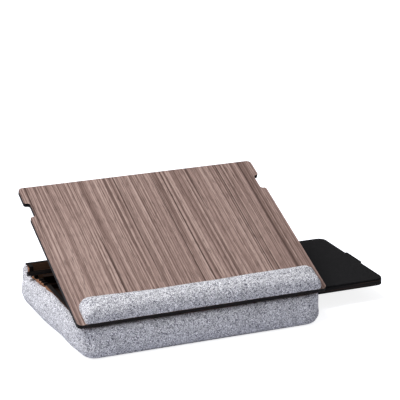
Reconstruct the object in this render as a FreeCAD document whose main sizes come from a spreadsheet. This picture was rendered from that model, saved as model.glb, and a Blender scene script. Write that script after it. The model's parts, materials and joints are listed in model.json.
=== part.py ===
import FreeCAD, Part
import math
import os
import Sketcher

# Laptop stand with a padded base, a tilting top board and a side drawer.
# Origin: on the floor under the middle of the base. X to the right, Y to the back, Z up.
# Lengths are in millimetres and angles in degrees.
# The stand is drawn with the top tilted, its prop in the first notch and the drawer pulled out.

Vector = FreeCAD.Vector
CLOSE = 1e-6
KNUCKLES = 5

SIZES = [
    # Top board
    ("top_width", 380.0, "top board, left to right"),
    ("top_depth", 305.0, "top board, front to back"),
    ("board_thick", 6.5, "veneered board of the top, walls and prop"),
    ("top_corner", 7.0, "corner radius of the top board"),
    ("top_nose", 4.4, "top board in front of the hinge axis"),
    ("grip_start", 237.0, "side notch, from the front edge"),
    ("grip_length", 31.0, "side notch, front to back"),
    ("grip_inset", 8.5, "side notch, depth from the side edge"),
    ("grip_round", 4.0, "rounding inside the side notch"),
    # Wrist rest
    ("rest_length", 360.0, "wrist rest, left to right"),
    ("rest_setback", 1.5, "wrist rest behind the front edge of the top"),
    ("rest_depth", 43.0, "wrist rest, front to back"),
    ("rest_height", 17.0, "wrist rest above the top board"),
    ("rest_round", 11.0, "rounding of the wrist rest"),
    ("rest_skin", 1.5, "fabric over the wrist rest foam"),
    # Tilt linkage
    ("tilt", 23.3, "tilt of the top in the first notch"),
    ("second_angle", 36.0, "tilt in the second notch"),
    ("third_angle", 40.2, "tilt in the third notch"),
    ("fourth_angle", 44.3, "tilt in the fourth notch"),
    ("foot_up", 46.0, "prop's foot above the floor in the first notch"),
    ("closed_foot_up", 39.66, "prop's foot above the floor with the top closed"),
    ("prop_reach", 133.0, "prop hinge axis behind the top's hinge axis"),
    ("prop_length", 135.8, "prop hinge axis to the foot edge"),
    ("prop_width", 250.0, "prop board between its ears"),
    ("prop_corner", 10.0, "corner radius at the hinged end of the prop"),
    ("ear_span", 377.0, "prop across both ears"),
    ("ear_depth", 9.0, "ear along the prop"),
    ("foot_gap", 0.4, "foot above the rack's crests"),
    ("notch_depth", 2.6, "small notches below their crests"),
    ("notch_flat_share", 0.12, "flat crest of a small notch, share of the way to the one behind"),
    ("rack_play", 1.2, "foot of the closed prop from the rack's end"),
    # Hinges
    ("barrel_radius", 2.1, "hinge barrel"),
    ("pin_radius", 1.0, "hinge pin"),
    ("pin_gap", 0.05, "hinge pin in its barrel"),
    ("leaf_thick", 1.2, "hinge leaf"),
    ("top_leaf_length", 20.0, "leaf of the top's hinge, away from the axis"),
    ("base_leaf_length", 18.0, "leaf on the front wall, down from the axis"),
    ("top_hinge_width", 60.0, "front hinge, along its pin"),
    ("top_hinge_side", 110.0, "front hinge, from the middle"),
    ("prop_leaf_length", 18.0, "leaf of the prop hinge, away from the axis"),
    ("prop_hinge_width", 45.0, "prop hinge, along its pin"),
    ("prop_hinge_side", 85.0, "prop hinge, from the middle"),
    ("knuckle_gap", 0.4, "play between knuckles"),
    ("screw_head", 2.2, "radius of a screw head"),
    ("screw_shank", 1.1, "radius of a screw's shank"),
    ("screw_length", 5.0, "screw, below its leaf's face"),
    ("screw_margin", 6.0, "screw from the free edge of its leaf"),
    ("screw_share", 0.32, "screw from the hinge's middle, share of its width"),
    # Box of the base
    ("box_width", 356.0, "outside of the side walls"),
    ("box_depth", 288.0, "outside of the front and back walls"),
    ("wall_top", 52.0, "top of the walls above the floor"),
    ("close_gap", 0.4, "closed top board above the walls"),
    ("finger_pair_count", 3.0, "pairs of fingers at each corner"),
    # Padding
    ("cover_thick", 1.5, "felt cover"),
    ("side_foam", 8.0, "foam beside the side walls"),
    ("end_foam", 5.0, "foam before the front wall and behind the back wall"),
    ("base_foam", 12.0, "foam under the base"),
    ("base_round", 12.0, "rounding of the cover under its edges"),
    ("cover_corner", 22.0, "rounding of the cover's corners from above"),
    ("front_lip", 47.9, "top of the padding at the front"),
    ("side_lip", 49.0, "top of the padding along the sides"),
    ("back_lip", 50.0, "top of the padding at the back"),
    ("rack_lip", 39.0, "top of the padding under the ears"),
    ("middle_lip", 43.5, "top of the padding beside the last notch"),
    ("pad_gap", 0.3, "play between the padding and what moves"),
    # Drawer
    ("drawer_width", 212.0, "drawer board, front to back"),
    ("drawer_middle", 5.0, "middle of the drawer, behind the origin"),
    ("drawer_length", 300.0, "drawer board, left to right"),
    ("drawer_end", 312.1, "outer end of the drawer, pulled out"),
    ("drawer_thick", 7.5, "drawer board"),
    ("drawer_under", 26.8, "underside of the drawer board"),
    ("drawer_corner", 13.0, "corner radius of the drawer board"),
    ("pad_thick", 3.0, "felt on the drawer"),
    ("pad_inset", 0.5, "felt inside the drawer board's edge"),
    ("tab_width", 50.0, "pull tab, front to back"),
    ("tab_out", 3.5, "pull tab beyond the board's end"),
    ("tab_corner", 1.2, "corner radius of the pull tab"),
    ("drawer_gap", 0.5, "play round the drawer"),
    ("slide_gap", 0.3, "drawer above its rails and from its stops"),
    ("rail_web", 4.0, "upright part of a drawer rail"),
    ("rail_flange", 10.0, "drawer rail under the board"),
    ("rail_lip", 4.5, "drawer rail over the board"),
    ("rail_lip_thick", 1.6, "thickness of the rail's lip"),
    ("rail_end", 12.0, "rail's ends from the side walls"),
    ("cleat_length", 10.0, "cleat under the drawer's inner end, left to right"),
    ("cleat_width", 80.0, "cleat and stops, front to back"),
    ("cleat_inset", 3.0, "cleat from the drawer's inner end"),
    ("stop_length", 10.0, "stop block, left to right"),
    ("stop_inset", 53.3, "inner stop block from the left wall"),
    # Cutting
    ("overrun", 2.0, "extra length of every cut"),
]


class Size:
    """A length with the spreadsheet expression that gives it."""

    def __init__(self, value, text):
        self.value = value
        self.text = text

    def __add__(self, other):
        other = as_size(other)
        return Size(self.value + other.value, f"({self.text} + {other.text})")

    def __sub__(self, other):
        other = as_size(other)
        return Size(self.value - other.value, f"({self.text} - {other.text})")

    def __mul__(self, other):
        other = as_size(other)
        return Size(self.value * other.value, f"{self.text} * {other.text}")

    def __truediv__(self, other):
        other = as_size(other)
        return Size(self.value / other.value, f"({self.text}) / ({other.text})")

    def __neg__(self):
        return Size(-self.value, f"(0 - {self.text})")

    def __float__(self):
        return float(self.value)


def as_size(thing):
    """Plain numbers join sums as they are."""
    if isinstance(thing, Size):
        return thing
    return Size(float(thing), repr(float(thing)))


def cosine(angle):
    return Size(math.cos(math.radians(angle.value)), f"cos({angle.text})")


def sine(angle):
    return Size(math.sin(math.radians(angle.value)), f"sin({angle.text})")


def slope_angle(rise, run):
    value = math.degrees(math.atan(rise.value / run.value))
    return Size(value, f"(atan({rise.text} / ({run.text})) / (1 deg))")


def lift_angle(rise, length):
    value = math.degrees(math.asin(rise.value / length.value))
    return Size(value, f"(asin({rise.text} / ({length.text})) / (1 deg))")


def diagonal(one, two):
    return Size(math.hypot(one.value, two.value), f"hypot({one.text}; {two.text})")


def make_sheet(doc):
    """One row per driving size: name, value, meaning."""
    sheet = doc.addObject("Spreadsheet::Sheet", "Sizes")
    for row, (name, value, meaning) in enumerate(SIZES, start=1):
        sheet.set(f"A{row}", name)
        sheet.set(f"B{row}", repr(value))
        sheet.set(f"C{row}", meaning)
        sheet.setAlias(f"B{row}", name)
    doc.recompute()
    return {name: Size(float(sheet.get(name)), f"Sizes.{name}") for name, value, meaning in SIZES}


os.makedirs("parts", exist_ok=True)
doc = FreeCAD.newDocument("laptop_stand")
size = make_sheet(doc)
zero = as_size(0)
sub_parts = []

# Places worked out from the driving sizes

half_box = size["box_width"] / 2
half_deep = size["box_depth"] / 2
bay_side = half_box - size["board_thick"]
bay_deep = half_deep - size["board_thick"]
foam_under = size["cover_thick"]
board_under = foam_under + size["base_foam"]
board_top = board_under + size["board_thick"]
foam_side = half_box + size["side_foam"]
foam_deep = half_deep + size["end_foam"]
cover_side = foam_side + size["cover_thick"]
cover_deep = foam_deep + size["cover_thick"]

# The front hinge's barrels touch the wall's outer face, and their tops the closed top board.
axis_back = -half_deep - size["barrel_radius"]
axis_up = size["wall_top"] + size["close_gap"] - size["barrel_radius"]

# In the frame of the top board, the front hinge's axis is the origin and Z leaves the board.
top_under = size["barrel_radius"]
top_face = top_under + size["board_thick"]
top_front = -size["top_nose"]
top_back = top_front + size["top_depth"]

# Every leaf lies between leaf_under and the barrel's top, in the frame of its own hinge.
leaf_under = size["barrel_radius"] - size["leaf_thick"]

# In the frame of the prop, its hinge's axis is the origin and Y runs down to its foot.
prop_under = leaf_under - size["board_thick"]
prop_axis_back = axis_back + size["prop_reach"] * cosine(size["tilt"])
prop_axis_up = axis_up + size["prop_reach"] * sine(size["tilt"])


def lean_at(tilt, foot_up):
    """Angle of the prop below level when its foot is at a height and the top at a tilt."""
    drop = axis_up + size["prop_reach"] * sine(tilt) - foot_up
    reach = diagonal(size["prop_length"], prop_under)
    return lift_angle(drop, reach) - slope_angle(-prop_under, size["prop_length"])


prop_lean = lean_at(size["tilt"], size["foot_up"])
closed_lean = lean_at(zero, size["closed_foot_up"])

drawer_front = size["drawer_middle"] - size["drawer_width"] / 2
drawer_back = size["drawer_middle"] + size["drawer_width"] / 2
drawer_face = size["drawer_under"] + size["drawer_thick"]
drawer_top = drawer_face + size["pad_thick"]
drawer_inner = size["drawer_end"] - size["drawer_length"]
cleat_left = drawer_inner + size["cleat_inset"]
stop_left = -bay_side + size["stop_inset"]


def bind(thing, prop, length):
    """Ties a property of a document object to its expression."""
    thing.setExpression(prop, length.text)


def move(thing, across, back, up, facing=None):
    """Sets an object's place, with its facing kept."""
    place = Vector(across.value, back.value, up.value)
    thing.Placement = FreeCAD.Placement(place, facing or FreeCAD.Rotation())
    bind(thing, "Placement.Base.x", across)
    bind(thing, "Placement.Base.y", back)
    bind(thing, "Placement.Base.z", up)
    return thing


def turn_about_x(thing, back, up, angle):
    """Puts an object drawn about an axis along X at that axis, turned by an angle."""
    move(thing, zero, back, up, FreeCAD.Rotation(Vector(1, 0, 0), angle.value))
    bind(thing, "Placement.Rotation.Angle", angle)
    return thing


def on_base(thing):
    return thing


def on_top(thing):
    return turn_about_x(thing, axis_back, axis_up, size["tilt"])


def on_prop(thing):
    return turn_about_x(thing, prop_axis_back, prop_axis_up, -prop_lean)


def block(name, left, right, front, back, under, top):
    """A box given by its six sides."""
    thing = doc.addObject("Part::Box", name)
    bind(thing, "Length", right - left)
    bind(thing, "Width", back - front)
    bind(thing, "Height", top - under)
    return move(thing, left, front, under)


def rod(name, radius, left, right):
    """A round bar on the X axis."""
    thing = doc.addObject("Part::Cylinder", name)
    bind(thing, "Radius", radius)
    bind(thing, "Height", right - left)
    return move(thing, left, zero, zero, FreeCAD.Rotation(Vector(0, 1, 0), 90))


def disc(name, radius, height, across, back, up):
    """A round bar along Z."""
    thing = doc.addObject("Part::Cylinder", name)
    bind(thing, "Radius", radius)
    bind(thing, "Height", height)
    return move(thing, across, back, up)


def fused(name, things):
    """Joins pieces into one solid."""
    thing = doc.addObject("Part::MultiFuse", name)
    thing.Shapes = things
    thing.Refine = True
    return thing


def grouped(name, things):
    """Keeps separate solids in one object."""
    thing = doc.addObject("Part::Compound", name)
    thing.Links = things
    return thing


def cut(name, base, tools):
    """Takes the tools out of the base."""
    thing = doc.addObject("Part::Cut", name)
    thing.Base = base
    thing.Tool = tools[0] if len(tools) == 1 else grouped(f"{name}Tools", tools)
    thing.Refine = True
    return thing


def common(name, base, tool):
    """Keeps what two objects share."""
    thing = doc.addObject("Part::Common", name)
    thing.Base = base
    thing.Tool = tool
    return thing


def shape_object(name, shape):
    """An object whose outline is worked out from a table of points."""
    thing = doc.addObject("Part::Feature", name)
    thing.Shape = shape
    return thing


def keep(name, thing, place=on_base):
    """Names a finished sub-part and puts it on the piece that carries it."""
    thing.Label = name
    place(thing)
    sub_parts.append(thing)
    return thing


def role_plane(body, role):
    """One of the body's own origin planes."""
    return next(item for item in body.Origin.OriginFeatures if item.Role == role)


def sketch_rectangle(body, name, left, right, front, back, lift):
    """A rectangle above the body's own XY plane, held by four distances."""
    sketch = body.newObject("Sketcher::SketchObject", name)
    sketch.AttachmentSupport = [(role_plane(body, "XY_Plane"), "")]
    sketch.MapMode = "FlatFace"
    sketch.AttachmentOffset = FreeCAD.Placement(Vector(0, 0, lift.value), FreeCAD.Rotation())
    bind(sketch, "AttachmentOffset.Base.z", lift)
    corners = [
        Vector(left.value, front.value, 0),
        Vector(right.value, front.value, 0),
        Vector(right.value, back.value, 0),
        Vector(left.value, back.value, 0),
    ]
    for start, end in zip(corners, corners[1:] + corners[:1]):
        sketch.addGeometry(Part.LineSegment(start, end), False)
    for line in range(4):
        sketch.addConstraint(Sketcher.Constraint("Coincident", line, 2, (line + 1) % 4, 1))
    for line, way in enumerate(("Horizontal", "Vertical", "Horizontal", "Vertical")):
        sketch.addConstraint(Sketcher.Constraint(way, line))
    held = (
        ("DistanceX", 0, left, "Left"),
        ("DistanceY", 0, front, "Front"),
        ("DistanceX", 2, right, "Right"),
        ("DistanceY", 2, back, "Back"),
    )
    for way, line, length, label in held:
        index = sketch.addConstraint(Sketcher.Constraint(way, -1, 1, line, 1, length.value))
        sketch.renameConstraint(index, label)
        sketch.setExpression(f"Constraints.{label}", length.text)
    return sketch


def body_pad(body, name, left, right, front, back, under, top):
    """A padded rectangle in a body, given by its six sides."""
    feature = body.newObject("PartDesign::Pad", name)
    feature.Profile = sketch_rectangle(body, f"{name}Sketch", left, right, front, back, under)
    bind(feature, "Length", top - under)
    return feature


def body_pocket(body, name, left, right, front, back, under, top):
    """A pocketed rectangle in a body, cut upwards from its lower side."""
    feature = body.newObject("PartDesign::Pocket", name)
    feature.Profile = sketch_rectangle(body, f"{name}Sketch", left, right, front, back, under)
    feature.Reversed = True
    bind(feature, "Length", top - under)
    return feature


def round_edges(body, name, radius, wanted):
    """Rounds the edges of the body's last feature for which wanted(edge) is true."""
    doc.recompute()
    last = body.Tip
    chosen = [f"Edge{index}" for index, edge in enumerate(last.Shape.Edges, start=1) if wanted(edge)]
    feature = body.newObject("PartDesign::Fillet", name)
    feature.Base = (last, chosen)
    bind(feature, "Radius", radius)
    return feature


def is_upright(edge):
    box = edge.BoundBox
    return box.XLength < CLOSE and box.YLength < CLOSE and box.ZLength > CLOSE


def at_level(edge, up):
    box = edge.BoundBox
    return abs(box.ZMin - up.value) < CLOSE and abs(box.ZMax - up.value) < CLOSE


def near_y(edge, places):
    """True for an upright edge at one of the given places along Y."""
    back = edge.BoundBox.YMin
    return is_upright(edge) and any(abs(back - place.value) < CLOSE for place in places)


def slab(points, left, right):
    """An outline of (y, z) pairs, drawn out along X."""
    corners = [Vector(float(left), float(back), float(up)) for back, up in points]
    face = Part.Face(Part.makePolygon(corners + corners[:1]))
    return face.extrude(Vector(float(right) - float(left), 0, 0))


# Motion of the prop, for the rack's outline


def foot_place(tilt):
    """Y and Z of the foot's lower edge when the top is tilted by an angle."""
    share = float(tilt) / float(size["tilt"])
    lean = math.radians(float(closed_lean) + (float(prop_lean) - float(closed_lean)) * share)
    rise = math.radians(float(tilt))
    reach = float(size["prop_reach"])
    length = float(size["prop_length"])
    below = float(prop_under)
    back = float(axis_back) + reach * math.cos(rise) + length * math.cos(lean) + below * math.sin(lean)
    up = float(axis_up) + reach * math.sin(rise) - length * math.sin(lean) + below * math.cos(lean)
    return back, up


def rack_points():
    """The side walls' top edge under the prop's ears, from the back to the front."""
    gap = float(size["foot_gap"])
    top = float(size["wall_top"])
    depth = float(size["notch_depth"])
    ear = float(size["ear_depth"])
    closed_back, closed_up = foot_place(0)
    rest_back, rest_up = foot_place(size["tilt"])
    wall = closed_back + float(size["rack_play"])
    points = [
        (wall, top),
        (wall, closed_up - gap),
        (closed_back - ear - gap, closed_up - gap),
        (rest_back + gap, rest_up - gap),
        (rest_back + gap, rest_up - gap - depth),
        (rest_back - ear, rest_up - gap - depth),
    ]
    for name in ("second_angle", "third_angle", "fourth_angle"):
        back, up = foot_place(size[name])
        crest = up - gap
        start = points[-1][0]
        ramp = (start - back) * float(size["notch_flat_share"])
        points.append((back + gap + ramp, crest))
        points.append((back + gap, crest))
        points.append((back + gap, crest - depth))
    points.append((points[-1][0] - ear, points[-1][1]))
    points.append((points[-1][0] - ear / 2, top))
    return points


def rack_cut(left, right):
    """What the rack takes out of a side wall, as one solid."""
    points = rack_points()
    over = float(size["wall_top"] + size["overrun"])
    points = [(points[0][0], over), *points, (points[-1][0], over)]
    return shape_object("RackCut", slab(points, left, right))


def padding_points():
    """The padding's top edge seen from the side, from the back to the front."""
    closed_back = foot_place(0)[0]
    rest_back = foot_place(size["tilt"])[0]
    last_back = foot_place(size["fourth_angle"])[0]
    ear = float(size["ear_depth"])
    board = float(size["board_thick"])
    over = float(size["overrun"])
    return [
        (float(cover_deep) + over, float(size["back_lip"])),
        (float(half_deep), float(size["back_lip"])),
        (closed_back + float(size["rack_play"]), float(size["rack_lip"])),
        (rest_back - ear, float(size["rack_lip"])),
        (last_back + board, float(size["middle_lip"])),
        (last_back - 2 * board, float(size["side_lip"])),
        (-float(half_deep), float(size["front_lip"])),
        (-float(cover_deep) - over, float(size["front_lip"])),
    ]


def padding_trim():
    """Everything above the padding's top edge, to cut away."""
    points = padding_points()
    over = float(size["wall_top"] + size["overrun"])
    points = points + [(points[-1][0], over), (points[0][0], over)]
    reach = cover_side + size["overrun"]
    return shape_object("PaddingTrim", slab(points, -reach, reach))


# The padded base


def rounded_tray(name, side, deep, under, corner, rounding):
    """A block with rounded corners and a rounded lower edge, centred on the origin."""
    body = doc.addObject("PartDesign::Body", name)
    body_pad(body, f"{name}Pad", -side, side, -deep, deep, under, size["wall_top"])
    round_edges(body, f"{name}Corners", corner, is_upright)
    round_edges(body, f"{name}Under", rounding, lambda edge: at_level(edge, under))
    return body


def drawer_way(name, left, right):
    """The slot through which the drawer slides, between two places along X."""
    front = drawer_front - size["drawer_gap"]
    back = drawer_back + size["drawer_gap"]
    under = size["drawer_under"] - size["drawer_gap"]
    top = drawer_top + size["drawer_gap"]
    return block(name, left, right, front, back, under, top)


def cushion_cover(trim):
    """The felt cover: a rounded tray, open above and for the drawer at the right."""
    inner_corner = size["cover_corner"] - size["cover_thick"]
    inner_round = size["base_round"] - size["cover_thick"]
    outer = rounded_tray("CoverOuter", cover_side, cover_deep, zero, size["cover_corner"],
                         size["base_round"])
    hollow = rounded_tray("CoverHollow", foam_side, foam_deep, foam_under, inner_corner, inner_round)
    slot = drawer_way("CoverSlot", half_box, cover_side + size["overrun"])
    tray = cut("CoverTray", outer, [hollow])
    open_tray = cut("CoverOpen", tray, [trim])
    keep("cushion_cover", cut("Cover", open_tray, [slot]))
    return hollow


def foam_pieces(whole, trim):
    """Foam under the box and along its four sides, cut from one rounded block."""
    reach = foam_side + size["overrun"]
    deep = foam_deep + size["overrun"]
    top = size["wall_top"] + size["overrun"]
    bed = block("FoamBed", -reach, reach, -deep, deep, zero, board_under)
    keep("foam_bottom", common("FoamBottom", whole, bed))
    above = cut("FoamAbove", whole, [trim])
    strips = {
        "foam_front": (-reach, reach, -deep, -half_deep),
        "foam_back": (-reach, reach, half_deep, deep),
        "foam_left": (-reach, -half_box, -half_deep, half_deep),
        "foam_right": (half_box, reach, -half_deep, half_deep),
    }
    for name, (left, right, front, back) in strips.items():
        label = name.title().replace("_", "")
        room = block(f"{label}Room", left, right, front, back, board_under, top)
        strip = common(label, above, room)
        if name == "foam_right":
            slot = drawer_way("FoamSlot", half_box - size["overrun"], reach)
            strip = cut(f"{label}Open", strip, [slot])
        if name == "foam_front":
            strip = cut(f"{label}Open", strip, [leaf_recess(side) for side in (-1, 1)])
        keep(name, strip)


def leaf_recess(side):
    """Room in the front foam for one hinge leaf."""
    middle = size["top_hinge_side"] * side
    half = size["top_hinge_width"] / 2 + size["pad_gap"]
    front = -half_deep - size["leaf_thick"] - size["pad_gap"]
    foot = axis_up - size["base_leaf_length"] - size["pad_gap"]
    return block(f"LeafRecess{side + 1}", middle - half, middle + half, front, -half_deep, foot,
                 size["wall_top"])


def corner_fingers(first):
    """Every second finger at the four corners of the box, to cut away from one pair of walls."""
    count = 2 * int(float(size["finger_pair_count"]))
    step = (size["wall_top"] - board_under) / count
    boxes = []
    for left, right in ((-half_box, -bay_side), (bay_side, half_box)):
        for front, back in ((-half_deep, -bay_deep), (bay_deep, half_deep)):
            for index in range(first, count, 2):
                under = board_under + step * index
                boxes.append(block("Finger", left, right, front, back, under, under + step))
    return boxes


def leaf_ways(side):
    """Shallow ways in the front wall: over its top for a leaf, and in its face for the barrels."""
    middle = size["top_hinge_side"] * side
    half = size["top_hinge_width"] / 2 + size["pad_gap"]
    left = middle - half
    right = middle + half
    under = axis_up + leaf_under - size["pad_gap"]
    foot = axis_up - size["barrel_radius"] - size["pad_gap"]
    face = -half_deep + size["pad_gap"]
    return [
        block(f"LeafWay{side + 1}", left, right, -half_deep, -bay_deep, under, size["wall_top"]),
        block(f"BarrelWay{side + 1}", left, right, -half_deep, face, foot, under),
    ]


def front_wall(holes):
    wall = block("FrontBoard", -half_box, half_box, -half_deep, -bay_deep, board_under, size["wall_top"])
    jointed = cut("FrontJointed", wall, corner_fingers(0))
    keep("front_wall", cut("FrontWall", jointed, [*leaf_ways(-1), *leaf_ways(1), holes]))


def back_wall():
    wall = block("BackBoard", -half_box, half_box, bay_deep, half_deep, board_under, size["wall_top"])
    keep("back_wall", cut("BackWall", wall, corner_fingers(0)))


def side_wall(name, left, right):
    """A side wall with the rack for the prop's ears in its top edge."""
    label = name.title().replace("_", "")
    wall = block(f"{label}Board", left, right, -half_deep, half_deep, board_under, size["wall_top"])
    jointed = cut(f"{label}Jointed", wall, corner_fingers(1))
    racked = cut(f"{label}Racked", jointed, [rack_cut(left - size["overrun"], right + size["overrun"])])
    if name == "right_wall":
        slot = drawer_way("WallSlot", left - size["overrun"], right + size["overrun"])
        racked = cut(f"{label}Open", racked, [slot])
    keep(name, racked)


def floor_board():
    board = block("FloorBoard", -bay_side, bay_side, -bay_deep, bay_deep, board_under, board_top)
    keep("floor_board", board)


# Drawer guides in the base


def drawer_rail(name, edge, way):
    """A channel that carries one edge of the drawer board; way is 1 at the back and -1 at the front."""
    label = name.title().replace("_", "")
    left = -bay_side + size["rail_end"]
    outer = edge + (size["drawer_gap"] + size["rail_web"]) * way
    lip_under = drawer_top + size["drawer_gap"] / 2
    lip_top = lip_under + size["rail_lip_thick"]
    parts = (
        ("Web", edge + size["drawer_gap"] * way, board_top, lip_top),
        ("Flange", edge - size["rail_flange"] * way, board_top, size["drawer_under"] - size["slide_gap"]),
        ("Lip", edge - size["rail_lip"] * way, lip_under, lip_top),
    )
    pieces = []
    for part, inner, under, top in parts:
        front, back = (inner, outer) if way > 0 else (outer, inner)
        pieces.append(block(label + part, left, bay_side, front, back, under, top))
    keep(name, fused(label, pieces))


def drawer_stops():
    """Two blocks on the floor board that end the drawer's travel both ways."""
    front = size["drawer_middle"] - size["cleat_width"] / 2
    back = size["drawer_middle"] + size["cleat_width"] / 2
    out_left = cleat_left + size["cleat_length"] + size["slide_gap"]
    top = size["drawer_under"] - size["drawer_gap"]
    outer = block("StopOut", out_left, out_left + size["stop_length"], front, back, board_top, top)
    inner = block("StopIn", stop_left, stop_left + size["stop_length"], front, back, board_top, top)
    keep("drawer_stops", grouped("DrawerStops", [outer, inner]))


# Hinges


def leaf(name, middle, width, length, way, first):
    """One leaf with its knuckles about the X axis, its outer face level with the barrel's top."""
    inset = size["knuckle_gap"]
    left = middle - width / 2 + inset
    right = middle + width / 2 - inset
    start = size["barrel_radius"] + inset
    front, back = (start, length) if way > 0 else (-length, -start)
    pieces = [block(f"{name}Plate", left, right, front, back, leaf_under, size["barrel_radius"])]
    step = width / KNUCKLES
    for index in range(first, KNUCKLES, 2):
        near = middle - width / 2 + step * index + inset / 2
        far = near + step - inset
        near = max(near, left, key=float)
        far = min(far, right, key=float)
        pieces.append(rod(f"{name}Knuckle{index}", size["barrel_radius"], near, far))
        front, back = (zero, start) if way > 0 else (-start, zero)
        pieces.append(block(f"{name}Neck{index}", near, far, front, back, leaf_under, size["barrel_radius"]))
    solid = fused(f"{name}Solid", pieces)
    bore = rod(f"{name}Bore", size["pin_radius"] + size["pin_gap"], left - size["overrun"],
               right + size["overrun"])
    heads = screw_discs(f"{name}Hole", middle, width, length, way, size["screw_head"], leaf_under,
                        size["barrel_radius"])
    return cut(name, solid, [bore, *heads])


def screw_discs(name, middle, width, length, way, radius, under, top):
    """One round bar at each of a leaf's two screws."""
    back = (length - size["screw_margin"]) * way
    step = width * size["screw_share"]
    places = (middle - step, middle + step)
    return [disc(f"{name}{index}", radius, top - under, across, back, under)
            for index, across in enumerate(places)]


def leaf_pair(name, side, width, length, way, first):
    """The same leaf left and right of the middle."""
    return grouped(name, [leaf(f"{name}{index}", side * hand, width, length, way, first)
                          for index, hand in enumerate((-1, 1))])


def screw_set(name, side, width, length, way, down):
    """Four flush screws of a pair of leaves; down when they enter the piece below the leaf."""
    under = leaf_under - size["screw_length"] if down else size["barrel_radius"]
    top = leaf_under if down else size["barrel_radius"] + size["screw_length"]
    shanks = []
    screws = []
    for index, hand in enumerate((-1, 1)):
        middle = side * hand
        heads = screw_discs(f"{name}Head{index}", middle, width, length, way, size["screw_head"],
                            leaf_under, size["barrel_radius"])
        stems = screw_discs(f"{name}Stem{index}", middle, width, length, way, size["screw_shank"],
                            under, top)
        shanks = shanks + stems
        screws = screws + [fused(f"{name}Screw{index}", [head, stem]) for head, stem in zip(heads, stems)]
    return grouped(name, screws), grouped(f"{name}Stems", shanks)


def pin_pair(name, side, width):
    """The pins of two hinges on one axis."""
    half = width / 2
    return grouped(name, [rod(f"{name}{index}", size["pin_radius"], side * hand - half, side * hand + half)
                          for index, hand in enumerate((-1, 1))])


def on_wall(thing):
    """Puts a leaf of the front hinge flat against the front wall, hanging from the axis."""
    return turn_about_x(thing, axis_back, axis_up, as_size(-90))


def on_axis(thing):
    """Puts pins on the front hinge's axis."""
    return turn_about_x(thing, axis_back, axis_up, zero)


def on_top_far(thing):
    """Puts a piece drawn about the prop's axis on the tilted top."""
    return turn_about_x(thing, prop_axis_back, prop_axis_up, size["tilt"])


def front_hinges():
    """Two butt hinges between the front wall and the top board; returns the stems in their frames."""
    side = size["top_hinge_side"]
    width = size["top_hinge_width"]
    down = size["base_leaf_length"]
    length = size["top_leaf_length"]
    keep("front_hinge_base_leaves", leaf_pair("BaseLeaf", side, width, down, 1, 0), on_wall)
    keep("front_hinge_top_leaves", leaf_pair("TopLeaf", side, width, length, 1, 1), on_top)
    keep("front_hinge_pins", pin_pair("FrontPin", side, width), on_axis)
    base_screws, base_stems = screw_set("BaseScrew", side, width, down, 1, False)
    keep("front_hinge_base_screws", base_screws, on_wall)
    top_screws, top_stems = screw_set("TopScrew", side, width, length, 1, False)
    keep("front_hinge_top_screws", top_screws, on_top)
    return on_wall(base_stems), top_stems


def prop_hinges():
    """Two butt hinges between the top board and the prop; returns the stems in their frames."""
    side = size["prop_hinge_side"]
    width = size["prop_hinge_width"]
    length = size["prop_leaf_length"]
    keep("prop_hinge_top_leaves", leaf_pair("FarLeaf", side, width, length, -1, 0), on_top_far)
    keep("prop_hinge_prop_leaves", leaf_pair("PropLeaf", side, width, length, 1, 1), on_prop)
    keep("prop_hinge_pins", pin_pair("PropPin", side, width), on_top_far)
    far_screws, far_stems = screw_set("FarScrew", side, width, length, -1, False)
    keep("prop_hinge_top_screws", far_screws, on_top_far)
    prop_screws, prop_stems = screw_set("PropScrew", side, width, length, 1, True)
    keep("prop_hinge_prop_screws", prop_screws, on_prop)
    return move(far_stems, zero, size["prop_reach"], zero), prop_stems


# The tilting top and its prop


def barrel_ways(name, middle, width, back):
    """Shallow ways in the board's underside over the barrels of two hinges."""
    half = width / 2 + size["pad_gap"]
    reach = size["barrel_radius"] + size["pad_gap"]
    top = top_under + size["pad_gap"]
    return [block(f"{name}{index}", middle * hand - half, middle * hand + half, back - reach,
                  back + reach, top_under, top) for index, hand in enumerate((-1, 1))]


def top_board(stems, far_stems):
    """The top board with a notch in each side to grip it by."""
    half = size["top_width"] / 2
    body = doc.addObject("PartDesign::Body", "TopBody")
    body_pad(body, "TopPad", -half, half, top_front, top_back, top_under, top_face)
    round_edges(body, "TopCorners", size["top_corner"], is_upright)
    start = top_front + size["grip_start"]
    end = start + size["grip_length"]
    inner = half - size["grip_inset"]
    outer = half + size["overrun"]
    body_pocket(body, "GripRight", inner, outer, start, end, top_under, top_face)
    body_pocket(body, "GripLeft", -outer, -inner, start, end, top_under, top_face)
    round_edges(body, "GripRounds", size["grip_round"], lambda edge: near_y(edge, (start, end)))
    ways = barrel_ways("NearWay", size["top_hinge_side"], size["top_hinge_width"], zero)
    ways = ways + barrel_ways("FarWay", size["prop_hinge_side"], size["prop_hinge_width"],
                              size["prop_reach"])
    keep("top_board", cut("TopBoard", body, [stems, far_stems, *ways]), on_top)


def wrist_rest():
    """A foam core in a felt cover, glued on the top board's front edge."""
    half = size["rest_length"] / 2
    front = top_front + size["rest_setback"]
    back = front + size["rest_depth"]
    top = top_face + size["rest_height"]
    skin = size["rest_skin"]
    core_round = size["rest_round"] - skin

    def rounded(name, side, near, far, high, radius):
        body = doc.addObject("PartDesign::Body", name)
        body_pad(body, f"{name}Pad", -side, side, near, far, top_face, high)
        round_edges(body, f"{name}Round", radius, lambda edge: not at_level(edge, top_face))
        return body

    core = rounded("RestCore", half - skin, front + skin, back - skin, top - skin, core_round)
    shell = rounded("RestShell", half, front, back, top, size["rest_round"])
    keep("wrist_rest_foam", core, on_top)
    hollow = rounded("RestHollow", half - skin, front + skin, back - skin, top - skin, core_round)
    keep("wrist_rest_cover", cut("RestCover", shell, [hollow]), on_top)


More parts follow.
